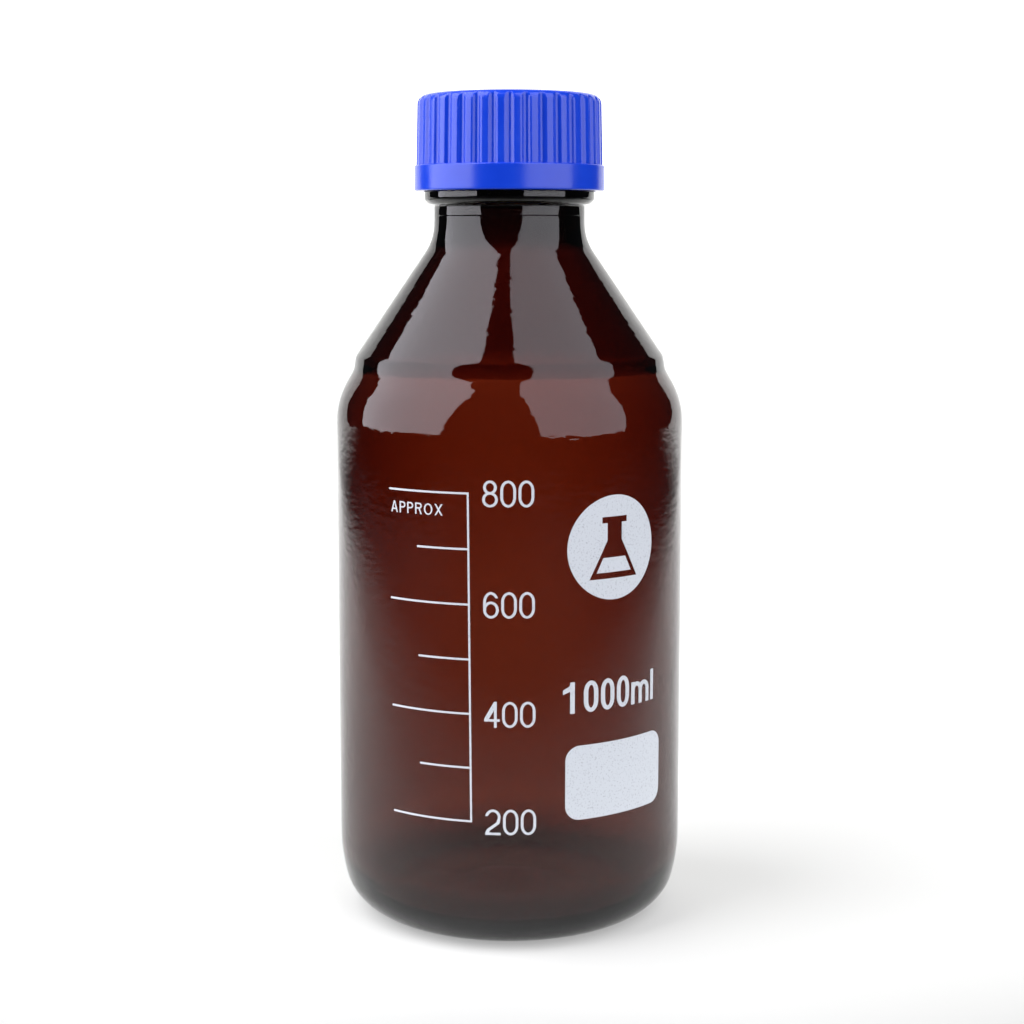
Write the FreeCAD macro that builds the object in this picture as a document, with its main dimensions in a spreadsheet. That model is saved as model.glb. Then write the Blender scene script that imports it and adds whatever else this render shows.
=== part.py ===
"""One-litre amber reagent bottle with a GL 45 screw cap.

Millimetres, +Z up, origin at the middle of the foot ring on the bench.
The printed scale faces -Y. The cap is screwed down on its seal.
"""

import FreeCAD, Part

import math
import os

import Sketcher

DIMENSIONS = [
    # glass body
    ("barrel_radius", 49.0, "outside of the straight barrel"),
    ("barrel_wall", 2.4, "glass thickness in the barrel"),
    ("foot_inner_radius", 33.0, "inner edge of the flat foot ring"),
    ("foot_push_up", 3.0, "height of the hollow under the base, at the middle"),
    ("foot_edge_radius", 45.33, "where the base plane would meet the tapered foot"),
    ("foot_taper_top", 15.9, "top of the slight taper above the foot"),
    ("foot_round", 12.4, "outside round at the foot"),
    ("foot_taper_round", 48.0, "slow round from the taper to the barrel"),
    ("floor_thickness", 4.2, "glass thickness at the edge of the floor"),
    ("floor_rise", 2.4, "rise of the floor towards the middle"),
    ("floor_round", 10.0, "inside rounds at the floor and above it"),
    ("shoulder_corner", 145.6, "where the barrel and the shoulder roll would meet"),
    ("shoulder_round", 23.0, "convex round of the shoulder"),
    ("step_radius", 43.9, "outside at the foot of the step ring"),
    ("step_low", 154.5, "bottom of the step ring"),
    ("step_high", 158.2, "top of the step ring, where the cone starts"),
    ("step_draft", 0.55, "how far the step ring leans in"),
    ("step_round", 3.6, "rounds below and above the step ring"),
    ("neck_radius", 21.15, "outside of the bare neck"),
    ("neck_corner", 190.6, "where the cone and the neck would meet"),
    ("neck_round", 14.0, "concave round from the cone to the neck"),
    ("cone_wall", 3.72, "glass in the cone, measured level"),
    ("bore_radius", 16.0, "inside of the neck"),
    ("bead_radius", 23.7, "outside of the ring under the cap"),
    ("bead_low", 199.9, "underside of the ring"),
    ("bead_high", 204.9, "top of the ring"),
    ("bead_round", 1.7, "rounds of the ring"),
    ("finish_radius", 20.9, "root of the screw finish"),
    ("finish_top", 219.6, "end of the screw finish"),
    ("lip_radius", 19.8, "outside of the pouring lip"),
    ("lip_groove_radius", 19.3, "groove that the pouring ring snaps into"),
    ("lip_groove_height", 1.6, "height of that groove"),
    ("bottle_height", 224.6, "foot ring to lip, without the cap"),
    ("lip_round", 1.0, "fire-polished round of the lip"),
    # GL 45 thread
    ("thread_pitch", 4.0, "one start, right-handed"),
    ("male_crest", 22.35, "outside of the glass thread"),
    ("male_root_width", 2.7, "thread ridge at its root"),
    ("male_crest_width", 1.1, "thread ridge at its crest"),
    ("male_start", 208.2, "height of the thread's lower end"),
    ("male_height", 7.0, "rise of the thread"),
    ("female_crest", 21.35, "inside of the cap's thread"),
    ("female_root_width", 1.9, "cap thread ridge at its root"),
    ("female_crest_width", 0.8, "cap thread ridge at its crest"),
    ("female_start", 210.35, "height of the cap thread's lower end"),
    ("female_height", 5.2, "rise of the cap's thread"),
    # pouring ring
    ("ring_outer", 20.5, "outside of the pouring ring"),
    ("ring_bore", 15.0, "inside of the pouring ring"),
    ("ring_top", 1.5, "plastic over the glass lip"),
    ("ring_drop", 4.7, "how far the skirt reaches down the lip"),
    ("ring_snap", 0.35, "how far the snap bead bites into the groove"),
    ("ring_spigot", 3.0, "how far the ring reaches into the neck"),
    # seal
    ("seal_radius", 20.6, "silicone disc and its PTFE face"),
    ("ptfe_thickness", 0.3, "PTFE face on the silicone"),
    ("silicone_thickness", 1.5, "silicone disc"),
    # cap
    ("cap_bottom", 203.6, "open end of the cap"),
    ("cap_top", 229.8, "top of the cap"),
    ("collar_radius", 26.4, "plain band at the open end"),
    ("collar_top", 210.6, "top of the plain band"),
    ("rib_radius_low", 25.85, "over the ribs, just above the band"),
    ("rib_radius_high", 25.4, "over the ribs, at the top"),
    ("cap_edge_round", 2.6, "round at the top edge"),
    ("cap_skirt_bore", 24.35, "flared mouth that passes over the ring"),
    ("cap_skirt_depth", 2.6, "depth of the flared mouth"),
    ("cap_thread_bore", 22.7, "root of the cap's thread"),
    ("cap_seat_bore", 20.9, "recess that holds the seal"),
    ("cap_seat_depth", 2.3, "depth of that recess below the ceiling"),
    ("cap_dish_radius", 19.0, "shallow dish in the top"),
    ("cap_dish_depth", 0.4, "depth of the dish"),
    ("rib_count", 36, "ribs and grooves round the cap"),
    ("groove_radius", 1.45, "cutter that rounds out one groove"),
    ("groove_depth", 0.75, "depth of a groove"),
    # print
    ("enamel_gap", 0.01, "print stands this far off the design surface"),
    ("enamel_thickness", 0.12, "fired enamel"),
    ("print_lean", 0.0073, "how far the whole print leans to the left for each mm up"),
    ("print_middle", 81.0, "height at which the print is not shifted by its lean"),
    ("scale_line_width", 0.52, "every line of the scale"),
    ("scale_line_arc", -10.6, "scale's upright, along the surface from the front"),
    ("long_line_length", 23.6, "lines at each 200 ml"),
    ("short_line_length", 14.6, "lines at each odd 100 ml"),
    ("scale_low", 37.3, "height of the 200 ml line"),
    ("scale_step", 14.67, "rise for each 100 ml"),
    ("numeral_height", 7.0, "digits beside the scale"),
    ("panel_arc", 31.8, "middle of the writing panel, along the surface"),
    ("panel_width", 33.6, "writing panel"),
    ("panel_low", 36.9, "bottom of the writing panel"),
    ("panel_height", 20.4, "writing panel"),
    ("panel_round", 4.0, "its corners"),
    ("emblem_arc", 29.5, "middle of the emblem, along the surface"),
    ("emblem_height", 110.0, "middle of the emblem, above the bench"),
    ("emblem_radius", 14.0, "round emblem"),
]

doc = FreeCAD.newDocument("reagent_bottle")
sheet = doc.addObject("Spreadsheet::Sheet", "dimensions")
for line, (alias, value, note) in enumerate(DIMENSIONS, start=1):
    sheet.set(f"A{line}", alias)
    sheet.set(f"B{line}", str(value))
    sheet.set(f"C{line}", note)
    sheet.setAlias(f"B{line}", alias)
doc.recompute()


class Size:
    """A length with the sheet expression that gives it, so that sums of cells stay bound."""

    def __init__(self, value, text):
        self.value, self.text = value, text

    def combine(self, other, sign, result):
        text = other.text if isinstance(other, Size) else repr(other)
        return Size(result, f"({self.text} {sign} {text})")

    def __add__(self, other):
        return self.combine(other, "+", self.value + number(other))

    def __sub__(self, other):
        return self.combine(other, "-", self.value - number(other))

    def __mul__(self, other):
        return self.combine(other, "*", self.value * number(other))

    def __truediv__(self, other):
        return self.combine(other, "/", self.value / number(other))


def number(size):
    return size.value if isinstance(size, Size) else float(size)


def cell(alias):
    return Size(float(sheet.get(alias)), f"dimensions.{alias}")


def bind(item, prop, size):
    """Sets a property from a cell or a sum of cells."""
    item.setExpression(prop, size.text)


# ---------------------------------------------------------------- sketches and bodies


def new_body(label):
    body = doc.addObject("PartDesign::Body", label)
    body.Label = label
    return body


def new_sketch(body, name, role):
    sketch = body.newObject("Sketcher::SketchObject", name)
    plane = next(f for f in body.Origin.OriginFeatures if f.Role == role)
    sketch.AttachmentSupport = [(plane, "")]
    sketch.MapMode = "FlatFace"
    return sketch


def place_corner(sketch, line, start_or_end, axis, size):
    """Fixes one coordinate of a corner: on the axis where it is zero, else at a bound distance."""
    if isinstance(size, Size):
        kind = "DistanceX" if axis == "x" else "DistanceY"
        index = sketch.addConstraint(
            Sketcher.Constraint(kind, -1, 1, line, start_or_end, size.value)
        )
        sketch.setExpression(f"Constraints[{index}]", size.text)
    else:
        sketch.addConstraint(
            Sketcher.Constraint("PointOnObject", line, start_or_end, -2 if axis == "x" else -1)
        )


def draw_outline(body, name, corners):
    """A closed outline of straight lines on the XZ plane, each corner (radius, height)."""
    sketch = new_sketch(body, name, "XZ_Plane")
    points = [FreeCAD.Vector(number(r), number(z), 0) for r, z in corners]
    count = len(points)
    for i in range(count):
        sketch.addGeometry(Part.LineSegment(points[i], points[(i + 1) % count]), False)
    for i in range(count):
        sketch.addConstraint(Sketcher.Constraint("Coincident", i, 2, (i + 1) % count, 1))
    for i, (radius, height) in enumerate(corners):
        place_corner(sketch, i, 1, "x", radius)
        place_corner(sketch, i, 1, "y", height)
    return sketch


def revolve(body, name, corners):
    sketch = draw_outline(body, name + "_outline", corners)
    turned = body.newObject("PartDesign::Revolution", name)
    turned.Profile = sketch
    turned.ReferenceAxis = (sketch, ["V_Axis"])
    turned.Angle = 360
    doc.recompute()
    return turned


def round_edges(body, name, circles, radius):
    """Rounds the level circular edges at the given (radius, height) places."""
    base = body.Tip
    found = []
    for r, z in circles:
        names = [
            f"Edge{i}"
            for i, edge in enumerate(base.Shape.Edges, start=1)
            if isinstance(edge.Curve, Part.Circle)
            and abs(edge.Curve.Radius - number(r)) < 0.02
            and abs(edge.Curve.Center.z - number(z)) < 0.02
        ]
        if not names:
            raise ValueError(f"{name}: no edge at radius {number(r)}, height {number(z)}")
        found += names
    fillet = body.newObject("PartDesign::Fillet", name)
    fillet.Base = (base, found)
    fillet.Radius = number(radius)
    bind(fillet, "Radius", radius)
    doc.recompute()
    return fillet


def wind_thread(body, name, corners, pitch, height):
    """Adds a right-handed ridge by winding an outline round the body's Z axis."""
    sketch = draw_outline(body, name + "_outline", corners)
    ridge = body.newObject("PartDesign::AdditiveHelix", name)
    ridge.Profile = sketch
    ridge.ReferenceAxis = (sketch, ["V_Axis"])
    ridge.Mode = 0
    ridge.Pitch, ridge.Height, ridge.Angle = pitch.value, height.value, 0
    bind(ridge, "Pitch", pitch)
    bind(ridge, "Height", height)
    ridge.LeftHanded = False
    doc.recompute()
    return ridge


# ---------------------------------------------------------------- glass bottle

ZERO = 0


def cone_slope():
    """Radius gained for each millimetre down the cone."""
    run = cell("step_radius") - cell("step_draft") - cell("neck_radius")
    return run / (cell("neck_corner") - cell("step_high"))


def make_bottle():
    """Blown glass: foot ring, barrel, step ring, cone, neck, ring under the cap and screw finish."""
    body = new_body("glass_bottle")
    barrel, lip = cell("barrel_radius"), cell("lip_radius")
    inside = barrel - cell("barrel_wall")
    step_top = cell("step_radius") - cell("step_draft")
    groove_top = cell("finish_top") + cell("lip_groove_height")
    inner_step = step_top - cell("cone_wall")
    bore_corner = cell("step_high") + (inner_step - cell("bore_radius")) / cone_slope()
    shoulder_in = cell("shoulder_corner") - 0.6
    floor_edge = cell("foot_edge_radius") - cell("barrel_wall") + 0.5
    corners = [
        (ZERO, cell("foot_push_up")),
        (cell("foot_inner_radius"), ZERO),
        (cell("foot_edge_radius"), ZERO),
        (barrel, cell("foot_taper_top")),
        (barrel, cell("shoulder_corner")),
        (cell("step_radius"), cell("step_low")),
        (step_top, cell("step_high")),
        (cell("neck_radius"), cell("neck_corner")),
        (cell("neck_radius"), cell("bead_low")),
        (cell("bead_radius"), cell("bead_low")),
        (cell("bead_radius"), cell("bead_high")),
        (cell("finish_radius"), cell("bead_high")),
        (cell("finish_radius"), cell("finish_top")),
        (cell("lip_groove_radius"), cell("finish_top")),
        (cell("lip_groove_radius"), groove_top),
        (lip, groove_top),
        (lip, cell("bottle_height")),
        (cell("bore_radius"), cell("bottle_height")),
        (cell("bore_radius"), bore_corner),
        (inner_step, cell("step_high")),
        (inside, shoulder_in),
        (inside, cell("foot_taper_top")),
        (floor_edge, cell("floor_thickness")),
        (ZERO, cell("floor_thickness") + cell("floor_rise")),
    ]
    revolve(body, "glass_body", corners)
    round_edges(
        body, "foot_rounding", [(cell("foot_edge_radius"), ZERO)], cell("foot_round")
    )
    round_edges(
        body, "taper_rounding", [(barrel, cell("foot_taper_top"))], cell("foot_taper_round")
    )
    round_edges(
        body,
        "floor_rounding",
        [(floor_edge, cell("floor_thickness")), (inside, cell("foot_taper_top"))],
        cell("floor_round"),
    )
    round_edges(
        body,
        "shoulder_rounding",
        [(barrel, cell("shoulder_corner")), (inside, shoulder_in)],
        cell("shoulder_round"),
    )
    round_edges(
        body,
        "step_rounding",
        [(cell("step_radius"), cell("step_low")), (step_top, cell("step_high"))],
        cell("step_round"),
    )
    round_edges(body, "inner_cone_rounding", [(inner_step, cell("step_high"))], cell("step_round"))
    round_edges(
        body,
        "neck_rounding",
        [(cell("neck_radius"), cell("neck_corner")), (cell("bore_radius"), bore_corner)],
        cell("neck_round"),
    )
    round_edges(
        body,
        "bead_rounding",
        [(cell("bead_radius"), cell("bead_low")), (cell("bead_radius"), cell("bead_high"))],
        cell("bead_round"),
    )
    round_edges(
        body,
        "lip_rounding",
        [(lip, cell("bottle_height")), (cell("bore_radius"), cell("bottle_height"))],
        cell("lip_round"),
    )
    buried = cell("finish_radius") - 0.6
    middle = cell("male_start")
    wind_thread(
        body,
        "glass_thread",
        [
            (buried, middle - cell("male_root_width") / 2),
            (cell("finish_radius"), middle - cell("male_root_width") / 2),
            (cell("male_crest"), middle - cell("male_crest_width") / 2),
            (cell("male_crest"), middle + cell("male_crest_width") / 2),
            (cell("finish_radius"), middle + cell("male_root_width") / 2),
            (buried, middle + cell("male_root_width") / 2),
        ],
        cell("thread_pitch"),
        cell("male_height"),
    )
    return body


# ---------------------------------------------------------------- pouring ring and seal

LIP_CLEARANCE = 0.05


def make_pouring_ring():
    """Polypropylene ring that snaps over the glass lip and keeps drips off the thread."""
    body = new_body("pouring_ring")
    lip_top = cell("bottle_height")
    skirt_in = cell("lip_radius") + LIP_CLEARANCE
    skirt_end = lip_top - cell("ring_drop")
    spigot_out = cell("bore_radius") - LIP_CLEARANCE
    groove_top = cell("finish_top") + cell("lip_groove_height")
    snap_in = cell("lip_radius") - cell("ring_snap")
    revolve(
        body,
        "ring_section",
        [
            (cell("ring_bore"), lip_top - cell("ring_spigot")),
            (spigot_out, lip_top - cell("ring_spigot")),
            (spigot_out, lip_top),
            (skirt_in, lip_top),
            (skirt_in, groove_top - LIP_CLEARANCE),
            (snap_in, groove_top - 0.4),
            (snap_in, groove_top - 0.9),
            (skirt_in, skirt_end),
            (cell("ring_outer"), skirt_end),
            (cell("ring_outer"), lip_top + cell("ring_top")),
            (cell("ring_bore"), lip_top + cell("ring_top")),
        ],
    )
    round_edges(
        body,
        "pouring_edge",
        [(cell("ring_bore"), lip_top + cell("ring_top"))],
        Size(0.5, "0.5"),
    )
    return body


def make_disc(label, low, thickness):
    """One round layer of the seal."""
    disc = doc.addObject("Part::Cylinder", label)
    bind(disc, "Radius", cell("seal_radius"))
    bind(disc, "Height", thickness)
    bind(disc, "Placement.Base.z", low)
    disc.Label = label
    return disc


# ---------------------------------------------------------------- screw cap


def make_cap():
    """Moulded polypropylene cap: plain band, ribbed wall, internal thread and seal recess."""
    body = new_body("screw_cap")
    bottom, top, collar = cell("cap_bottom"), cell("cap_top"), cell("collar_top")
    seal_top = (
        cell("bottle_height")
        + cell("ring_top")
        + cell("ptfe_thickness")
        + cell("silicone_thickness")
    )
    skirt_end = bottom + cell("cap_skirt_depth")
    seat_low = seal_top - cell("cap_seat_depth")
    revolve(
        body,
        "cap_section",
        [
            (cell("cap_skirt_bore"), bottom),
            (cell("collar_radius"), bottom),
            (cell("collar_radius"), collar),
            (cell("rib_radius_low"), collar),
            (cell("rib_radius_high"), top),
            (cell("cap_dish_radius") + cell("cap_dish_depth"), top),
            (cell("cap_dish_radius"), top - cell("cap_dish_depth")),
            (ZERO, top - cell("cap_dish_depth")),
            (ZERO, seal_top),
            (cell("cap_seat_bore"), seal_top),
            (cell("cap_seat_bore"), seat_low),
            (cell("cap_thread_bore"), seat_low - 1.8),
            (cell("cap_thread_bore"), skirt_end + 1.0),
            (cell("cap_skirt_bore"), skirt_end),
        ],
    )
    round_edges(body, "top_rounding", [(cell("rib_radius_high"), top)], cell("cap_edge_round"))
    round_edges(
        body,
        "collar_rounding",
        [(cell("collar_radius"), bottom), (cell("collar_radius"), collar)],
        Size(0.35, "0.35"),
    )
    middle, buried = cell("female_start"), cell("cap_thread_bore") + 0.5
    wind_thread(
        body,
        "cap_thread",
        [
            (buried, middle - cell("female_root_width") / 2),
            (cell("cap_thread_bore"), middle - cell("female_root_width") / 2),
            (cell("female_crest"), middle - cell("female_crest_width") / 2),
            (cell("female_crest"), middle + cell("female_crest_width") / 2),
            (cell("cap_thread_bore"), middle + cell("female_root_width") / 2),
            (buried, middle + cell("female_root_width") / 2),
        ],
        cell("thread_pitch"),
        cell("female_height"),
    )
    cut_grooves(body)
    return body


def cut_grooves(body):
    """Rounded grooves between the ribs: one leaning round cutter, repeated about the axis."""
    rise = number(cell("cap_top") - cell("collar_top"))
    lean = math.degrees(
        math.atan2(number(cell("rib_radius_low") - cell("rib_radius_high")), rise)
    )
    centre = cell("rib_radius_low") - cell("groove_depth") + cell("groove_radius")
    cutter = body.newObject("PartDesign::SubtractiveCylinder", "groove")
    bind(cutter, "Radius", cell("groove_radius"))
    bind(cutter, "Height", cell("cap_top") - cell("collar_top") + 2)
    cutter.AttachmentOffset = FreeCAD.Placement(
        FreeCAD.Vector(number(centre), 0, number(cell("collar_top"))),
        FreeCAD.Rotation(FreeCAD.Vector(0, 1, 0), -lean),
    )
    plane = next(f for f in body.Origin.OriginFeatures if f.Role == "XY_Plane")
    cutter.AttachmentSupport = [(plane, "")]
    cutter.MapMode = "FlatFace"
    doc.recompute()
    before = body.Tip.Shape.Volume
    around = body.newObject("PartDesign::PolarPattern", "grooves")
    around.Originals = [cutter]
    axis = next(f for f in body.Origin.OriginFeatures if f.Role == "Z_Axis")
    around.Axis = (axis, [""])
    around.Angle = 360
    around.Occurrences = int(number(cell("rib_count")))
    bind(around, "Occurrences", cell("rib_count"))
    body.Tip = around
    doc.recompute()
    if not body.Tip.Shape.Volume < before:
        raise ValueError("the grooves cut nothing")


# ---------------------------------------------------------------- fired print

BARREL = number(cell("barrel_radius"))
PRINT_IN = BARREL + number(cell("enamel_gap"))
PRINT_OUT = PRINT_IN + number(cell("enamel_thickness"))
STRAY = 0.01


def bent_bar(arc_low, arc_high, low, high):
    """A bar of enamel bent round the barrel, between two places along the surface."""
    start = math.degrees(arc_low / BARREL) - 90
    span = math.degrees((arc_high - arc_low) / BARREL)
    base, up = FreeCAD.Vector(0, 0, low), FreeCAD.Vector(0, 0, 1)
    outer = Part.makeCylinder(PRINT_OUT, high - low, base, up, span)
    inner = Part.makeCylinder(PRINT_IN, high - low, base, up, span)
    bar = outer.cut(inner)
    bar.rotate(FreeCAD.Vector(0, 0, 0), up, start)
    return bar


def wrap(flat, arc, low):
    """Lays a flat shape, drawn in XY with its foot at y 0, on the barrel as a curved layer.

    The block it is cut with has to reach in past the curve at both ends of the widest shape.
    """
    reach = 9.0
    blocks = [face.extrude(FreeCAD.Vector(0, 0, reach)) for face in flat.Faces]
    block = blocks[0].multiFuse(blocks[1:]).removeSplitter() if blocks[1:] else blocks[0]
    block.rotate(FreeCAD.Vector(0, 0, 0), FreeCAD.Vector(1, 0, 0), 90)
    block.translate(FreeCAD.Vector(0, -(BARREL - reach / 2), low))
    block.rotate(FreeCAD.Vector(0, 0, 0), FreeCAD.Vector(0, 0, 1), math.degrees(arc / BARREL))
    base = FreeCAD.Vector(0, 0, block.BoundBox.ZMin - 1)
    height = block.BoundBox.ZLength + 2
    layer = Part.makeCylinder(PRINT_OUT, height, base).cut(
        Part.makeCylinder(PRINT_IN, height, base)
    )
    return layer.common(block).removeSplitter()


def bar(x0, y0, x1, y1):
    """An upright rectangle."""
    corners = [(x0, y0), (x1, y0), (x1, y1), (x0, y1), (x0, y0)]
    return Part.Face(Part.makePolygon([FreeCAD.Vector(x, y, 0) for x, y in corners]))


def polygon(*corners):
    ring = [FreeCAD.Vector(x, y, 0) for x, y in corners]
    return Part.Face(Part.makePolygon(ring + ring[:1]))


def oval(x, y, half_width, half_height):
    """An ellipse, or a circle where both halves are equal."""
    centre = FreeCAD.Vector(x, y, 0)
    if abs(half_width - half_height) < STRAY:
        curve = Part.Circle(centre, FreeCAD.Vector(0, 0, 1), half_width)
    elif half_width > half_height:
        curve = Part.Ellipse(centre, half_width, half_height)
    else:
        tall = FreeCAD.Vector(x, y + half_height, 0)
        wide = FreeCAD.Vector(x - half_width, y, 0)
        curve = Part.Ellipse(tall, wide, centre)
    return Part.Face(Part.Wire(curve.toShape()))


def stadium(x, y, half_width, half_height, flat):
    """An oval with upright sides of twice the flat length."""
    if not flat:
        return oval(x, y, half_width, half_height)
    ends = oval(x, y + flat, half_width, half_height - flat)
    ends = ends.fuse(oval(x, y - flat, half_width, half_height - flat))
    return ends.fuse(bar(x - half_width, y - flat, x + half_width, y + flat))


def loop(x, y, half_width, half_height, stroke_x, stroke_y, flat=0):
    """A closed bowl with strokes of two weights, thinner at its top and bottom."""
    outside = stadium(x, y, half_width, half_height, flat)
    inside = stadium(x, y, half_width - stroke_x, half_height - stroke_y, flat)
    return outside.cut(inside)


def glyph(letter, tall, wide, stroke):
    """One printed character of the given height and width, as a flat shape with its foot at y 0."""
    thin = stroke * 0.88
    half, mid = wide / 2, tall / 2
    if letter in "0O":
        return loop(half, mid, half, mid, stroke, thin, tall * 0.13 if letter == "0" else 0)
    if letter == "8":
        top = loop(half, tall * 0.74, half * 0.87, tall * 0.26, stroke, thin)
        return top.fuse(loop(half, tall * 0.285, half, tall * 0.285, stroke, thin))
    if letter == "6":
        bowl = loop(half, tall * 0.32, half, tall * 0.32, stroke, thin)
        shell = loop(half, mid, half, mid, stroke, thin, tall * 0.1)
        left = bar(-1, tall * 0.3, half * 0.7, tall * 0.9)
        cap = bar(-1, tall * 0.77, wide + 1, tall + 1)
        return bowl.fuse(shell.common(left.fuse(cap)))
    if letter == "2":
        bowl = loop(half, tall * 0.7, half, tall * 0.3, stroke, thin)
        keep = bar(-1, tall * 0.74, wide + 1, tall + 1).fuse(bar(half, tall * 0.56, wide + 1, tall))
        hook = bowl.common(keep)
        heel = bar(0, 0, wide, thin)
        slope = polygon(
            (0, 0),
            (stroke * 1.3, 0),
            (stroke * 1.6, tall * 0.17),
            (wide - stroke * 0.42, tall * 0.45),
            (wide - stroke * 0.1, tall * 0.58),
            (wide - stroke * 1.1, tall * 0.6),
            (wide - stroke * 1.45, tall * 0.5),
            (stroke * 0.55, tall * 0.22),
            (0, thin * 0.8),
        )
        return hook.fuse(heel).fuse(slope)
    if letter == "4":
        post = bar(wide * 0.63, 0, wide * 0.63 + stroke, tall)
        rail = bar(0, tall * 0.235, wide, tall * 0.235 + thin)
        slope = polygon(
            (0, tall * 0.235),
            (0, tall * 0.235 + thin * 1.15),
            (wide * 0.63, tall),
            (wide * 0.63 + stroke * 0.6, tall),
            (wide * 0.63 + stroke * 0.6, tall * 0.78),
            (stroke * 1.15, tall * 0.235),
        )
        return post.fuse(rail).fuse(slope)
    if letter == "1":
        edge = wide * 0.65
        post = bar(edge - stroke, 0, edge, tall)
        flag = polygon(
            (edge - stroke * 0.8, tall),
            (edge - stroke * 1.2, tall * 0.87),
            (0, tall * 0.76),
            (0, tall * 0.76 - thin),
            (edge - stroke / 2, tall * 0.74),
            (edge - stroke / 2, tall),
        )
        return post.fuse(flag)
    if letter == "l":
        return bar(0, 0, stroke, tall)
    if letter == "m":
        gap = (wide - stroke) / 2
        shape = bar(0, 0, stroke, tall)
        for left in (0, gap):
            arch = loop(left + (gap + stroke) / 2, tall * 0.62, (gap + stroke) / 2, tall * 0.38, stroke, thin)
            shape = shape.fuse(arch.common(bar(-1, tall * 0.62, wide + 1, tall + 1)))
            shape = shape.fuse(bar(left + gap, 0, left + gap + stroke, tall * 0.62))
        return shape
    if letter == "A":
        legs = polygon((0, 0), (stroke * 1.05, 0), (half, tall * 0.84), (wide - stroke * 1.05, 0))
        outline = polygon((0, 0), (wide, 0), (half + stroke * 0.55, tall), (half - stroke * 0.55, tall))
        return outline.cut(legs).fuse(bar(wide * 0.2, tall * 0.24, wide * 0.8, tall * 0.24 + thin))
    if letter in "PR":
        deep = tall * (0.44 if letter == "P" else 0.48)
        bowl_height = (tall - deep) / 2
        bowl = loop(wide - deep * 0.62, deep + bowl_height, deep * 0.62, bowl_height, stroke, thin)
        turn = bowl.common(bar(wide - deep * 0.62, 0, wide + 1, tall))
        shape = bar(0, 0, stroke, tall).fuse(turn)
        shape = shape.fuse(bar(0, tall - thin, wide - deep * 0.62, tall))
        shape = shape.fuse(bar(0, deep, wide - deep * 0.62, deep + thin))
        if letter == "P":
            return shape
        leg = polygon(
            (wide * 0.48, deep + thin / 2),
            (wide * 0.48 + stroke, deep + thin / 2),
            (wide, 0),
            (wide - stroke * 1.15, 0),
        )
        return shape.fuse(leg)
    if letter == "X":
        rising = polygon((0, 0), (stroke * 1.15, 0), (wide, tall), (wide - stroke * 1.15, tall))
        falling = polygon((0, tall), (stroke * 1.15, tall), (wide, 0), (wide - stroke * 1.15, 0))
        return rising.fuse(falling)
    raise ValueError(f"no drawing for {letter}")


def print_word(label, word, arc, low, tall, stroke, widths, gap):
    """A word of separate curved characters that starts at a place along the surface."""
    solids = []
    for letter in word:
        wide = widths[letter]
        high = tall * (0.72 if letter == "m" else 1.0)
        flat = glyph(letter, high, wide, stroke)
        flat.translate(FreeCAD.Vector(-wide / 2, 0, 0))
        solids += wrap(flat, arc + wide / 2 + lean_at(low + tall / 2), low).Solids
        arc += wide + gap
    return keep_shape(label, Part.makeCompound(solids))


def keep_shape(label, shape):
    """Enamel follows the barrel, so its shape is worked out here rather than by a feature."""
    item = doc.addObject("Part::Feature", label)
    item.Shape = shape
    item.Label = label
    return item


def lean_at(height):
    """Shift along the surface that the print has at a height, because it was fired on a little askew."""
    return number(cell("print_lean")) * (number(cell("print_middle")) - height)


def scale_height(millilitres):
    return number(cell("scale_low")) + number(cell("scale_step")) * (millilitres - 200) / 100


def make_scale():
    """The upright line and a cross line for each 100 ml."""
    width, upright = number(cell("scale_line_width")), number(cell("scale_line_arc"))
    low, high = scale_height(200) - width / 2, scale_height(800) + width / 2
    slant = number(cell("print_lean")) * (high - low) / 2
    flat = polygon(
        (slant - width / 2, 0),
        (slant + width / 2, 0),
        (-slant + width / 2, high - low),
        (-slant - width / 2, high - low),
    )
    shape = wrap(flat, upright + lean_at((low + high) / 2), low)
    for millilitres in range(200, 801, 100):
        long_line = millilitres % 200 == 0
        length = number(cell("long_line_length" if long_line else "short_line_length"))
        height = scale_height(millilitres)
        right = upright + lean_at(height)
        shape = shape.fuse(
            bent_bar(right - length, right, height - width / 2, height + width / 2)
        )
    return keep_shape("scale_lines", shape.removeSplitter())


def make_panel():
    """White patch to write on, with round corners."""
    half = BARREL * math.sin(number(cell("panel_width")) / 2 / BARREL)
    tall, corner = number(cell("panel_height")), number(cell("panel_round"))
    flat = bar(-half, corner, half, tall - corner).fuse(bar(corner - half, 0, half - corner, tall))
    for x in (corner - half, half - corner):
        for y in (corner, tall - corner):
            flat = flat.fuse(oval(x, y, corner, corner))
    layer = wrap(flat, number(cell("panel_arc")), number(cell("panel_low")))
    return keep_shape("writing_panel", layer)


def make_emblem():
    """A plain round spot with a conical flask left clear in it."""
    radius = number(cell("emblem_radius"))
    spot = oval(0, radius, radius, radius)
    neck, foot, tall = radius * 0.17, radius * 0.56, radius * 1.18
    base = radius - tall / 2
    flask = polygon(
        (-foot, base),
        (foot, base),
        (neck, base + tall * 0.62),
        (neck, base + tall * 0.9),
        (-neck, base + tall * 0.9),
        (-neck, base + tall * 0.62),
    )
    rim = bar(-neck * 1.7, base + tall * 0.9, neck * 1.7, base + tall)
    clear = flask.fuse(rim)
    fill = polygon(
        (-foot * 0.72, base + tall * 0.1),
        (foot * 0.72, base + tall * 0.1),
        (foot * 0.46, base + tall * 0.34),
        (-foot * 0.46, base + tall * 0.34),
    )
    flat = spot.cut(clear).fuse(fill)
    arc, low = number(cell("emblem_arc")), number(cell("emblem_height")) - radius
    return keep_shape("emblem", wrap(flat, arc, low))


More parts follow.
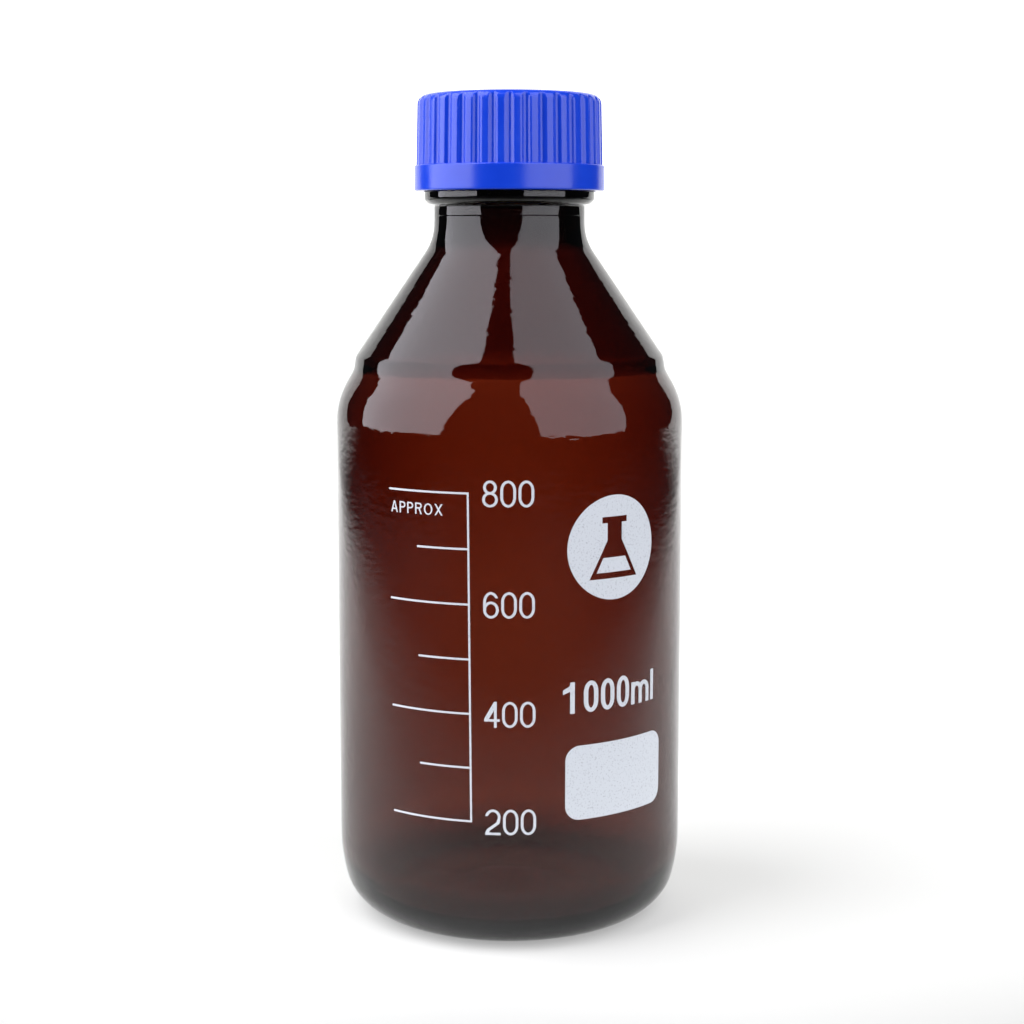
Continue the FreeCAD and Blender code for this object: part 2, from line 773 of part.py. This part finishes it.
def make_print():
    """All the fired white marks: scale, numerals, words, panel and emblem."""
    tall = number(cell("numeral_height"))
    digit = {letter: 4.1 for letter in "024680"}
    marks = [make_scale(), make_panel(), make_emblem()]
    for millilitres in (200, 400, 600, 800):
        low = scale_height(millilitres) - tall / 2
        marks.append(
            print_word(
                f"numeral_{millilitres}", str(millilitres), -6.8, low, tall, 0.74, digit, 0.62
            )
        )
    letters = {"A": 2.3, "P": 1.9, "R": 2.05, "O": 2.5, "X": 2.3}
    marks.append(print_word("approx_mark", "APPROX", -33.6, 119.2, 3.0, 0.4, letters, 0.62))
    bold = {"1": 5.1, "0": 4.35, "m": 7.2, "l": 1.35}
    marks.append(print_word("capacity_mark", "1000ml", 14.2, 66.2, 8.5, 1.3, bold, 0.85))
    return marks


# ---------------------------------------------------------------- build, check and write


def main():
    ring_top = cell("bottle_height") + cell("ring_top")
    pieces = [
        make_bottle(),
        make_pouring_ring(),
        make_disc("seal_face_ptfe", ring_top, cell("ptfe_thickness")),
        make_disc(
            "seal_disc_silicone", ring_top + cell("ptfe_thickness"), cell("silicone_thickness")
        ),
        make_cap(),
        *make_print(),
    ]
    doc.recompute()
    for item in doc.Objects:
        if {"Invalid", "Error"} & set(item.State):
            raise RuntimeError(f"{item.Label} failed: {item.State}")
    os.makedirs("parts", exist_ok=True)
    for piece in pieces:
        shape = piece.Shape
        if shape.isNull() or not shape.isValid():
            raise RuntimeError(f"{piece.Label} has no valid shape")
        shape.exportStep(f"parts/{piece.Label}.step")
        box = shape.BoundBox
        print(
            f"{piece.Label}: {len(shape.Solids)} solids, {shape.Volume:.1f} mm3,"
            f" z {box.ZMin:.2f} to {box.ZMax:.2f}, across {box.XLength:.2f}"
        )


main()
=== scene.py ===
import math

import bpy
from mathutils import Matrix, Vector


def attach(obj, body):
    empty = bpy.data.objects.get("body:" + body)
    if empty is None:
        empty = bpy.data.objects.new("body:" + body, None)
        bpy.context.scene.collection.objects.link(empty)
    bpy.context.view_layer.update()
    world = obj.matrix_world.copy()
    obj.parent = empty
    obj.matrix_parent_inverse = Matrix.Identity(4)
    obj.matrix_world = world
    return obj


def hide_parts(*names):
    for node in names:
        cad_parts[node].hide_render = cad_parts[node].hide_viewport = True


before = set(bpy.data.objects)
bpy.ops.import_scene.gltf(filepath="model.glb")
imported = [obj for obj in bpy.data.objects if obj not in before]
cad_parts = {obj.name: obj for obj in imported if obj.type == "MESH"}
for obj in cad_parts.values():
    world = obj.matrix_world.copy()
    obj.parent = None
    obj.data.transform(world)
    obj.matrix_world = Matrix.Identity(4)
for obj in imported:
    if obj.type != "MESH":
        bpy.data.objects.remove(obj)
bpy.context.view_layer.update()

bpy.ops.object.select_all(action="DESELECT")
mm = 0.001

# ------------------------------------------------------------------ camera
# A long lens on a stand, a little under the height of the cap and tipped down at the barrel.

CAMERA_BACK, CAMERA_HEIGHT = 534.5 * mm, 192.5 * mm
CAMERA_DIP, CAMERA_TURN = math.radians(8.42), math.radians(-0.075)

bpy.ops.object.camera_add(
    location=(0, -CAMERA_BACK, CAMERA_HEIGHT), rotation=(math.pi / 2 - CAMERA_DIP, 0, CAMERA_TURN)
)
camera = bpy.context.object
camera.name = "camera"
camera.data.lens, camera.data.sensor_width = 66.6, 36
bpy.context.scene.camera = camera
bpy.context.scene.view_settings.view_transform = "Standard"

# ------------------------------------------------------------------ studio
# A white table that sweeps up behind the bottle, and two tall softboxes that lean in over it, one each
# side of the camera. Between and beside them the room is dark, which is what gives the glass its depth.


def add(nodes, kind, settings=(), links=()):
    """Adds one node: settings go on its properties or input sockets, links are (socket, from output)."""
    node = nodes.new(kind)
    for key, value in dict(settings).items():
        if isinstance(key, str) and hasattr(node, key):
            setattr(node, key, value)
        else:
            node.inputs[key].default_value = value
    for key, output in dict(links).items():
        node.id_data.links.new(node.inputs[key], output)
    return node


def srgb(code):
    """A hex colour as the linear colour that a socket takes."""
    parts = [int(code[i : i + 2], 16) / 255 for i in (1, 3, 5)]
    return (*[p / 12.92 if p <= 0.04045 else ((p + 0.055) / 1.055) ** 2.4 for p in parts], 1.0)


def new_material(name):
    """A material with only its output node left in it."""
    material = bpy.data.materials.new(name)
    material.use_nodes = True
    nodes = material.node_tree.nodes
    for node in list(nodes):
        if node.type != "OUTPUT_MATERIAL":
            nodes.remove(node)
    output = next(n for n in nodes if n.type == "OUTPUT_MATERIAL")
    return material, nodes, output


def connect(output, socket, node):
    """Links a node's first output to a socket of the material's output node."""
    output.id_data.links.new(output.inputs[socket], node.outputs[0])


TABLE_WIDTH, TABLE_DEPTH, TABLE_MIDDLE, TABLE_GAP = 3.2, 3.9, -0.25, 0.25 * mm
SWEEP_HEIGHT, SWEEP_ROUND = 2.4, 0.6
# These set where the pool of painted light on the paper ends, and how strong its painted glow is under the
# bottle and on the sweep.
POOL_MIDDLE, POOL_EVEN, POOL_END = 0.42, 0.45, 0.82
UNDER_GLOW, UNDER_END, BACK_GLOW = 0.34, 0.6, 0.9


def white_table_paper():
    """Matt white paper in a pool of painted light round the bottle. Its colour is painted dark grey at its
    sides and its front edge, a painted shade. A painted glow of emission under the bottle and on the sweep
    behind it stands in for lamps there."""
    material, nodes, output = new_material("white_paper")
    place = add(nodes, "ShaderNodeTexCoord")
    split = add(nodes, "ShaderNodeSeparateXYZ", links={0: place.outputs["Object"]})
    behind = add(
        nodes, "ShaderNodeMath", {"operation": "SUBTRACT", 1: POOL_MIDDLE}, {0: split.outputs["Y"]}
    )
    ahead = add(nodes, "ShaderNodeMath", {"operation": "MINIMUM", 1: 0.0}, {0: behind.outputs[0]})
    flat = add(nodes, "ShaderNodeCombineXYZ", links={0: split.outputs["X"], 1: ahead.outputs[0]})
    reach = add(nodes, "ShaderNodeVectorMath", {"operation": "LENGTH"}, {0: flat.outputs[0]})
    pool = add(
        nodes,
        "ShaderNodeMapRange",
        {"interpolation_type": "SMOOTHSTEP", "From Min": POOL_EVEN, "From Max": POOL_END,
         "To Min": 1.0, "To Max": 0.0},
        {0: reach.outputs["Value"]},
    )
    sweep = add(
        nodes,
        "ShaderNodeMapRange",
        {"From Min": 0.6, "From Max": 1.1, "To Min": 0.0, "To Max": 1.0},
        {0: split.outputs["Y"]},
    )
    lit = add(
        nodes, "ShaderNodeMath", {"operation": "MAXIMUM"}, {0: pool.outputs[0], 1: sweep.outputs[0]}
    )
    # Painted shade: the paper's colour goes from white in the pool to dark grey at its sides and front
    # edge.
    shade = add(
        nodes,
        "ShaderNodeMix",
        {"data_type": "RGBA", 6: srgb("#2A2A2C"), 7: srgb("#C8C9C3")},
        {0: lit.outputs[0]},
    )
    # Painted glow: the paper emits light more and more towards the sweep, in place of a lamp behind it.
    painted_back_glow = add(
        nodes,
        "ShaderNodeMapRange",
        {"From Min": 0.1, "From Max": 0.9, "To Min": 0.0, "To Max": BACK_GLOW},
        {0: split.outputs["Y"]},
    )
    # Painted glow: the paper emits light under and behind the bottle, in place of a lamp under it.
    painted_under_glow = add(
        nodes,
        "ShaderNodeMapRange",
        {"interpolation_type": "SMOOTHSTEP", "From Min": POOL_EVEN, "From Max": UNDER_END,
         "To Min": UNDER_GLOW, "To Max": 0.0},
        {0: reach.outputs["Value"]},
    )
    both = add(
        nodes, "ShaderNodeMath", {"operation": "ADD"}, {0: painted_back_glow.outputs[0], 1: painted_under_glow.outputs[0]}
    )
    glow = add(
        nodes, "ShaderNodeMath", {"operation": "MULTIPLY"}, {0: both.outputs[0], 1: lit.outputs[0]}
    )
    paper = add(
        nodes,
        "ShaderNodeBsdfPrincipled",
        {"Roughness": 0.9, "Emission Color": (1, 1, 1, 1)},
        {"Base Color": shade.outputs[2], "Emission Strength": glow.outputs[0]},
    )
    connect(output, "Surface", paper)
    return material


bpy.ops.mesh.primitive_plane_add(size=1)
table = bpy.context.object
table.name = "table"
bpy.ops.object.mode_set(mode="EDIT")
bpy.ops.transform.resize(value=(TABLE_WIDTH, TABLE_DEPTH, 1))
bpy.ops.transform.translate(value=(0, TABLE_MIDDLE, -TABLE_GAP))
bpy.ops.mesh.select_all(action="DESELECT")
bpy.ops.object.mode_set(mode="OBJECT")
for edge in table.data.edges:
    edge.select = all(table.data.vertices[v].co.y > 0 for v in edge.vertices)
bpy.ops.object.mode_set(mode="EDIT")
bpy.ops.mesh.select_mode(type="EDGE")
bpy.ops.mesh.extrude_region_move(TRANSFORM_OT_translate={"value": (0, 0, SWEEP_HEIGHT)})
bpy.ops.object.mode_set(mode="OBJECT")
bend = table.modifiers.new("sweep", "BEVEL")
bend.width, bend.segments, bend.limit_method = SWEEP_ROUND, 24, "ANGLE"
bpy.ops.object.modifier_apply(modifier="sweep")
bpy.ops.object.shade_smooth()
table.data.materials.append(white_table_paper())


def hang_softbox(name, turn, lean, distance, low, width, tall, power):
    """A tall softbox that faces the bottle from that angle off the front and leans in at its top.

    Its energy grows with its face, so its cloth is as bright at any size. It is a very little blue.
    """
    out = Vector((math.sin(math.radians(turn)), -math.cos(math.radians(turn)), 0))
    up = Vector((0, 0, 1)) * math.cos(math.radians(lean)) - out * math.sin(math.radians(lean))
    across = up.cross(out).normalized()
    bpy.ops.object.light_add(type="AREA")
    box = bpy.context.object
    box.name = name
    box.matrix_world = Matrix((across, up, across.cross(up))).transposed().to_4x4()
    box.location = out * distance + Vector((0, 0, low)) + up * tall / 2
    box.data.shape = "RECTANGLE"
    box.data.size, box.data.size_y = width, tall
    box.data.energy = power * width * tall * math.pi
    box.data.color = (0.98, 0.97, 1.04)


hang_softbox(
    "softbox_left", turn=-76.5, lean=17.4, distance=1.0, low=0.10, width=1.24, tall=2.06, power=3.8
)
hang_softbox(
    "softbox_right", turn=49.0, lean=15.0, distance=1.05, low=0.09, width=1.20, tall=2.07, power=2.5
)

world = bpy.data.worlds.new("dark_room")
bpy.context.scene.world = world
world.use_nodes = True
world.node_tree.nodes["Background"].inputs["Color"].default_value = (0.022, 0.022, 0.024, 1)

# ------------------------------------------------------------------ glass bottle
# Soda-lime or borosilicate glass, blown in a mould, stained amber right through. The neck is pressed
# first, so it carries a fine parting line, a rolled ring and the screw finish; the rest is blown thin.


NEAR = 0.05 * mm     # how far off a wall still counts as on it
MERGE = 0.002 * mm   # points closer than this become one


def round_corners(corners):
    """Points of a closed outline, in metres, with a true arc at each corner that has a round.

    A corner is (radius, height, round) in mm. Arcs over 6 mm have a point every 3 degrees at most, and
    smaller ones every 9.
    """
    points = []
    for i, (r, z, fillet) in enumerate(corners):
        here = Vector((r, z))
        if not fillet:
            points.append(here * mm)
            continue
        back = (Vector(corners[i - 1][:2]) - here).normalized()
        on = (Vector(corners[(i + 1) % len(corners)][:2]) - here).normalized()
        half = back.angle(on) / 2
        turn = math.pi - 2 * half
        centre = here + (back + on).normalized() * fillet / math.sin(half)
        start = here + back * fillet / math.tan(half) - centre
        end = here + on * fillet / math.tan(half) - centre
        sign = 1 if start.x * end.y - start.y * end.x > 0 else -1
        step = 3.0 if fillet > 6 else 9.0
        count = max(2, math.ceil(math.degrees(turn) / step))
        for k in range(count + 1):
            a = sign * turn * k / count
            arc = Vector(
                (
                    start.x * math.cos(a) - start.y * math.sin(a),
                    start.x * math.sin(a) + start.y * math.cos(a),
                )
            )
            points.append((centre + arc) * mm)
    return points


def divide(outline, low, high, outside, pitch):
    """Adds points to the upright runs of an outline that lie between two heights and outside a radius."""
    points = [outline[0]]
    for a, b in zip(outline, outline[1:]):
        upright = abs(a.x - b.x) < NEAR and abs(a.y - b.y) > 2 * pitch
        if upright and low < min(a.y, b.y) and max(a.y, b.y) < high and min(a.x, b.x) > outside:
            count = round(abs(a.y - b.y) / pitch)
            points += [a.lerp(b, k / count) for k in range(1, count)]
        points.append(b)
    return points


def turn_on_axis(name, outline, steps, closed):
    """Extrudes one vertex along an outline of radius and height, and turns that round the bottle's axis."""
    bpy.ops.mesh.primitive_plane_add(size=mm)
    piece = bpy.context.object
    piece.name = piece.data.name = name
    bpy.ops.object.mode_set(mode="EDIT")
    bpy.ops.mesh.select_mode(type="VERT")
    bpy.ops.mesh.merge(type="CENTER")
    bpy.ops.transform.translate(value=(outline[0].x, 0, outline[0].y))
    path = outline + outline[:1] if closed else outline
    for a, b in zip(path, path[1:]):
        bpy.ops.mesh.extrude_region_move(
            TRANSFORM_OT_translate={"value": (b.x - a.x, 0, b.y - a.y)}
        )
    bpy.ops.object.mode_set(mode="OBJECT")
    turn = piece.modifiers.new("turn", "SCREW")
    turn.steps = turn.render_steps = steps
    turn.use_merge_vertices, turn.merge_threshold = True, MERGE
    bpy.ops.object.modifier_apply(modifier="turn")
    bpy.ops.object.mode_set(mode="EDIT")
    bpy.ops.mesh.select_all(action="SELECT")
    bpy.ops.mesh.remove_doubles(threshold=MERGE)
    bpy.ops.mesh.delete_loose(use_verts=True, use_edges=True, use_faces=False)
    bpy.ops.mesh.select_all(action="SELECT")
    bpy.ops.mesh.normals_make_consistent(inside=False)
    bpy.ops.object.mode_set(mode="OBJECT")
    return piece


def wind_thread(piece, on_wall, start, rise, pitch, root, crest, stand):
    """Pulls the vertices of a wall out, or in where stand is negative, into a thread with faded ends.

    The thread starts at that height and rises that far. Its ridge is root wide at its foot and crest wide
    at its top.
    """
    full = 2 * math.pi * rise / pitch
    fade = math.radians(24)
    for vertex in piece.data.vertices:
        x, y, z = vertex.co
        radius = math.hypot(x, y)
        if not on_wall(radius, z):
            continue
        best = 0.0
        for lap in range(3):
            wound = math.atan2(y, x) % (2 * math.pi) + 2 * math.pi * lap
            if wound > full:
                continue
            off = abs(z - start - pitch * wound / (2 * math.pi))
            across = min(1, max(0, (root / 2 - off) / ((root - crest) / 2)))
            along = min(1, wound / fade, (full - wound) / fade)
            best = max(best, across * across * (3 - 2 * across) * along * (2 - along))
        vertex.co.x *= (radius + stand * best) / radius
        vertex.co.y *= (radius + stand * best) / radius


def smooth(piece, degrees):
    """Shades a piece smooth, with a crease where its faces meet at more than this angle."""
    bpy.ops.object.select_all(action="DESELECT")
    piece.select_set(True)
    bpy.context.view_layer.objects.active = piece
    bpy.ops.object.shade_smooth_by_angle(angle=math.radians(degrees))


def amber_glass():
    """Clear glass, coloured right through: 2 mm of wall lets through about a quarter of red light, a tenth
    of green and little blue. Blown faces are faintly wavy, and the mould leaves fine level ripples."""
    material, nodes, output = new_material("amber_glass")
    place = add(nodes, "ShaderNodeTexCoord")
    wide = add(nodes, "ShaderNodeMapping", {"Scale": (1, 1, 0.7)}, {0: place.outputs["Object"]})
    level = add(nodes, "ShaderNodeMapping", {"Scale": (0.5, 0.5, 1)}, {0: place.outputs["Object"]})
    slow = add(nodes, "ShaderNodeTexNoise", {"Scale": 34.0, "Detail": 1.0}, {0: wide.outputs[0]})
    fine = add(nodes, "ShaderNodeTexNoise", {"Scale": 620.0, "Detail": 1.0}, {0: level.outputs[0]})
    swell = add(
        nodes,
        "ShaderNodeBump",
        {"Strength": 1.0, "Distance": 0.30 * mm},
        {"Height": slow.outputs[0]},
    )
    ripple = add(
        nodes,
        "ShaderNodeBump",
        {"Strength": 1.0, "Distance": 0.045 * mm},
        {"Height": fine.outputs[0], "Normal": swell.outputs[0]},
    )
    glass = add(
        nodes,
        "ShaderNodeBsdfPrincipled",
        {
            "Base Color": (1, 1, 1, 1),
            "Roughness": 0.0,
            "IOR": 1.49,
            "Transmission Weight": 1.0,
        },
        {"Normal": ripple.outputs[0]},
    )
    tint = add(
        nodes, "ShaderNodeVolumeAbsorption", {"Color": (0.59, 0.25, 0.03, 1), "Density": 1500.0}
    )
    connect(output, "Surface", glass)
    connect(output, "Volume", tint)
    return material


BARREL, FINISH_WALL, MOUTH = 49.0, 20.9, 16.0
glass_outline = round_corners(
    [
        # push-up, foot, barrel and shoulder
        (0, 3.0, 0),
        (12, 2.95, 30),
        (33.4, 0.0, 3),
        (45.33, 0.0, 12.4),
        (BARREL, 15.9, 48),
        (BARREL, 145.6, 23),
        # step and cone
        (43.9, 154.5, 4.6),
        (43.35, 158.2, 3.4),
        # neck, with its parting line
        (21.15, 190.6, 14),
        (21.13, 196.6, 0),
        (21.13, 196.88, 0),
        (21.155, 196.95, 0),
        (21.155, 197.05, 0),
        (21.125, 197.12, 0),
        (21.125, 197.4, 0),
        (21.1, 199.6, 0.35),
        # ring, wall of the screw finish, groove and lip
        (23.75, 199.9, 2.25),
        (23.75, 205.2, 2.25),
        (FINISH_WALL, 205.6, 0.5),
        (FINISH_WALL, 219.6, 0.3),
        (19.3, 219.8, 0.3),
        (19.3, 221.2, 0.3),
        (19.8, 221.4, 0.3),
        (19.8, 224.6, 1.2),
        # mouth, and the inside down to the floor
        (MOUTH, 224.6, 1.5),
        (MOUTH, 192.7, 14),
        (39.7, 157.9, 6),
        (46.6, 145.0, 23),
        (46.62, 118.0, 0),
        (46.95, 86.0, 0),
        (46.95, 15.9, 14),
        (43.4, 4.4, 9.5),
        (14, 6.3, 60),
        (0, 6.6, 0),
    ]
)
glass_outline = divide(
    glass_outline, low=202 * mm, high=222 * mm, outside=20.5 * mm, pitch=0.3 * mm
)
bottle = turn_on_axis("bottle_glass", glass_outline, 256, closed=False)
wind_thread(
    bottle,
    lambda r, z: abs(r - FINISH_WALL * mm) < NEAR and 205 * mm < z < 219.7 * mm,
    start=208.2 * mm,
    rise=7.0 * mm,
    pitch=4.0 * mm,
    root=2.7 * mm,
    crest=0.9 * mm,
    stand=1.4 * mm,
)
smooth(bottle, 50)
bottle.data.materials.append(amber_glass())
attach(bottle, "bottle")
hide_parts("glass_bottle")

# ------------------------------------------------------------------ screw cap
# Polypropylene, injection moulded: a plain band at the open end, upright ribs that run into the round
# of the top, an internal thread and a recess that holds the seal. The surface is satin and even.


def blue_polypropylene():
    """Polypropylene with blue pigment: waxy, slightly see-through at its edges, satin from the tool."""
    material, nodes, output = new_material("blue_polypropylene")
    place = add(nodes, "ShaderNodeTexCoord")
    cloud = add(nodes, "ShaderNodeTexNoise", {"Scale": 140.0, "Detail": 3.0}, {0: place.outputs["Object"]})
    shade = add(
        nodes,
        "ShaderNodeMix",
        {"data_type": "RGBA", 6: srgb("#103BC8"), 7: srgb("#1847D4")},
        {0: cloud.outputs[0]},
    )
    grain = add(nodes, "ShaderNodeTexNoise", {"Scale": 2400.0, "Detail": 2.0}, {0: place.outputs["Object"]})
    gloss = add(
        nodes,
        "ShaderNodeMapRange",
        {"From Min": 0.3, "From Max": 0.7, "To Min": 0.17, "To Max": 0.25},
        {0: cloud.outputs[0]},
    )
    tooth = add(
        nodes,
        "ShaderNodeBump",
        {"Strength": 0.35, "Distance": 0.012 * mm},
        {"Height": grain.outputs[0]},
    )
    plastic = add(
        nodes,
        "ShaderNodeBsdfPrincipled",
        {
            "IOR": 1.49,
            "Subsurface Weight": 0.12,
            "Subsurface Radius": (0.3, 0.45, 1.0),
            "Subsurface Scale": 0.8 * mm,
        },
        {"Base Color": shade.outputs[2], "Roughness": gloss.outputs[0], "Normal": tooth.outputs[0]},
    )
    connect(output, "Surface", plastic)
    return material


CAP_BASE, BAND_TOP, CAP_TOP = 203.6, 210.6, 229.8
SKIRT_BORE, CAP_BORE, BAND_WALL = 24.35, 22.7, 26.4
RIB_LOW, RIB_HIGH, RIB_FOOT = 25.85, 25.4, 25.97
RIBS, GROOVE_DEPTH, GROOVE_HALF, RIB_SOFT, BLEND = 36, 0.75, 1.24, 0.22, 0.12

# Each of these two lists is rounded as a closed outline of its own. So at the inner edge of the skirt,
# where they meet, there is a small fold and a slope in place of a step and a chamfer. It is hidden
# unless the cap is off and seen from below.
cap_outline = round_corners(
    [
        (SKIRT_BORE, CAP_BASE, 0.25),
        (BAND_WALL, CAP_BASE, 0.45),
        (BAND_WALL, BAND_TOP, 0.4),
        (RIB_LOW, BAND_TOP, 0.12),
        (RIB_HIGH, CAP_TOP, 2.7),
        (19.6, CAP_TOP, 0.5),
        (19.0, 229.4, 0.5),
        (0, 229.4, 0),
    ]
) + round_corners(
    [
        (0, 227.9, 0),
        (20.9, 227.9, 0.4),
        (20.9, 225.6, 0.3),
        (CAP_BORE, 223.8, 0.3),
        (CAP_BORE, 207.2, 0.3),
        (SKIRT_BORE, 206.2, 0.3),
    ]
)
cap_outline = divide(cap_outline, low=204 * mm, high=226 * mm, outside=22.5 * mm, pitch=0.45 * mm)


def groove_radius(angle, z):
    """How far out the ribbed wall stands at an angle and a height, all in mm but the angle.

    The grooves have round floors, and the ribs between them have soft corners.
    """
    wall = RIB_LOW + (RIB_HIGH - RIB_LOW) * (z - BAND_TOP) / (CAP_TOP - BAND_TOP)
    pitch = 2 * math.pi / RIBS
    across = abs((angle + pitch / 2) % pitch - pitch / 2) * wall
    if across >= GROOVE_HALF + RIB_SOFT:
        return wall
    hollow = GROOVE_DEPTH * (1 - (across / GROOVE_HALF) ** 2)
    gap = hollow / RIB_SOFT
    soft = RIB_SOFT * 0.5 * (gap + math.sqrt(gap * gap + BLEND))
    edge = RIB_SOFT * 0.5 * math.sqrt(BLEND) * across / (GROOVE_HALF + RIB_SOFT)
    return wall - max(0.0, soft - edge)


cap = turn_on_axis("cap_blue", cap_outline, 576, closed=True)
for vertex in cap.data.vertices:
    radius, height = math.hypot(vertex.co.x, vertex.co.y) / mm, vertex.co.z / mm
    if height > BAND_TOP - 0.01 and radius < RIB_FOOT:
        allowed = groove_radius(math.atan2(vertex.co.y, vertex.co.x), height)
        if radius > allowed:
            vertex.co.x *= allowed / radius
            vertex.co.y *= allowed / radius
wind_thread(
    cap,
    lambda r, z: abs(r - CAP_BORE * mm) < NEAR and 206.5 * mm < z < 224 * mm,
    start=210.35 * mm,
    rise=5.2 * mm,
    pitch=4.0 * mm,
    root=1.9 * mm,
    crest=0.7 * mm,
    stand=-1.3 * mm,
)
smooth(cap, 35)
blue = blue_polypropylene()
cap.data.materials.append(blue)
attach(cap, "cap")
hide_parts("screw_cap")

# ------------------------------------------------------------------ pouring ring
# The same polypropylene, snapped over the lip by a bead that sits in the groove of the glass.

ring_outline = round_corners(
    [
        (15.0, 221.6, 0.3),
        (15.9, 221.6, 0.3),
        (15.9, 224.65, 0.2),
        (19.9, 224.65, 0.2),
        (19.9, 221.2, 0.1),
        (19.5, 220.9, 0.15),
        (19.5, 220.4, 0.15),
        (19.9, 219.95, 0.1),
        (20.5, 219.95, 0.2),
        (20.5, 226.1, 0.7),
        (15.0, 226.1, 0.6),
    ]
)
ring = turn_on_axis("pouring_ring_blue", ring_outline, 192, closed=True)
smooth(ring, 40)
ring.data.materials.append(blue)
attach(ring, "bottle")
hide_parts("pouring_ring")

# ------------------------------------------------------------------ seal
# A disc of white silicone rubber, punched from sheet, with a thin PTFE face towards the bottle.


def seal_sheet(name, colour, roughness, grain_scale):
    """Sheet material with a fine even tooth from the calender."""
    material, nodes, output = new_material(name)
    place = add(nodes, "ShaderNodeTexCoord")
    grain = add(nodes, "ShaderNodeTexNoise", {"Scale": grain_scale}, {0: place.outputs["Object"]})
    tooth = add(
        nodes, "ShaderNodeBump", {"Strength": 0.3, "Distance": 0.02 * mm}, {"Height": grain.outputs[0]}
    )
    sheet = add(
        nodes,
        "ShaderNodeBsdfPrincipled",
        {"Base Color": srgb(colour), "Roughness": roughness, "Subsurface Weight": 0.1,
         "Subsurface Scale": 0.5 * mm},
        {"Normal": tooth.outputs[0]},
    )
    connect(output, "Surface", sheet)
    return material


for name, node, slot, low, high, material in (
    ("seal_silicone", "seal_disc_silicone", "silicone", 226.4, 227.9,
     seal_sheet("silicone_rubber", "#D6D2C6", 0.6, 1500.0)),
    ("seal_ptfe", "seal_face_ptfe", "ptfe", 226.1, 226.4,
     seal_sheet("ptfe_sheet", "#E9E8E2", 0.4, 900.0)),
):
    disc_outline = round_corners(
        [(0, low, 0), (20.6, low, 0.1), (20.6, high, 0.1), (0, high, 0)]
    )
    disc = turn_on_axis(name, disc_outline, 160, closed=False)
    smooth(disc, 40)
    disc.data.materials.append(material)
    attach(disc, "seal")
    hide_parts(node)

# ------------------------------------------------------------------ fired print
# White ceramic enamel, screen printed on the barrel and fired into the glass: a volume scale with its
# numbers, the capacity, a patch to write on and a plain emblem. The marks are the frame's own shapes, a
# tenth of a millimetre proud, and only get their material here.


def white_enamel():
    """Glass frit with white pigment: dense and satin, a little blue, with pinholes and the tooth of the
    screen, which is really 0.1 mm and is drawn at 0.45 mm so that it shows."""
    material, nodes, output = new_material("white_enamel")
    place = add(nodes, "ShaderNodeTexCoord")
    speckle = add(
        nodes, "ShaderNodeTexNoise", {"Scale": 2200.0, "Detail": 2.0}, {0: place.outputs["Object"]}
    )
    thin = add(
        nodes,
        "ShaderNodeMapRange",
        {"From Min": 0.28, "From Max": 0.44, "To Min": 0.0, "To Max": 1.0},
        {0: speckle.outputs[0]},
    )
    colour = add(
        nodes,
        "ShaderNodeMix",
        {"data_type": "RGBA", 6: srgb("#B6BBC1"), 7: srgb("#D5DBE0")},
        {0: thin.outputs[0]},
    )
    tooth = add(
        nodes,
        "ShaderNodeBump",
        {"Strength": 0.4, "Distance": 0.01 * mm},
        {"Height": speckle.outputs[0]},
    )
    enamel = add(
        nodes,
        "ShaderNodeBsdfPrincipled",
        {"Roughness": 0.42, "IOR": 1.5},
        {"Base Color": colour.outputs[2], "Normal": tooth.outputs[0]},
    )
    connect(output, "Surface", enamel)
    return material


enamel = white_enamel()
for node in (
    "scale_lines", "numeral_200", "numeral_400", "numeral_600", "numeral_800", "approx_mark",
    "capacity_mark", "writing_panel", "emblem",
):
    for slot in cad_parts[node].material_slots:
        slot.material = enamel
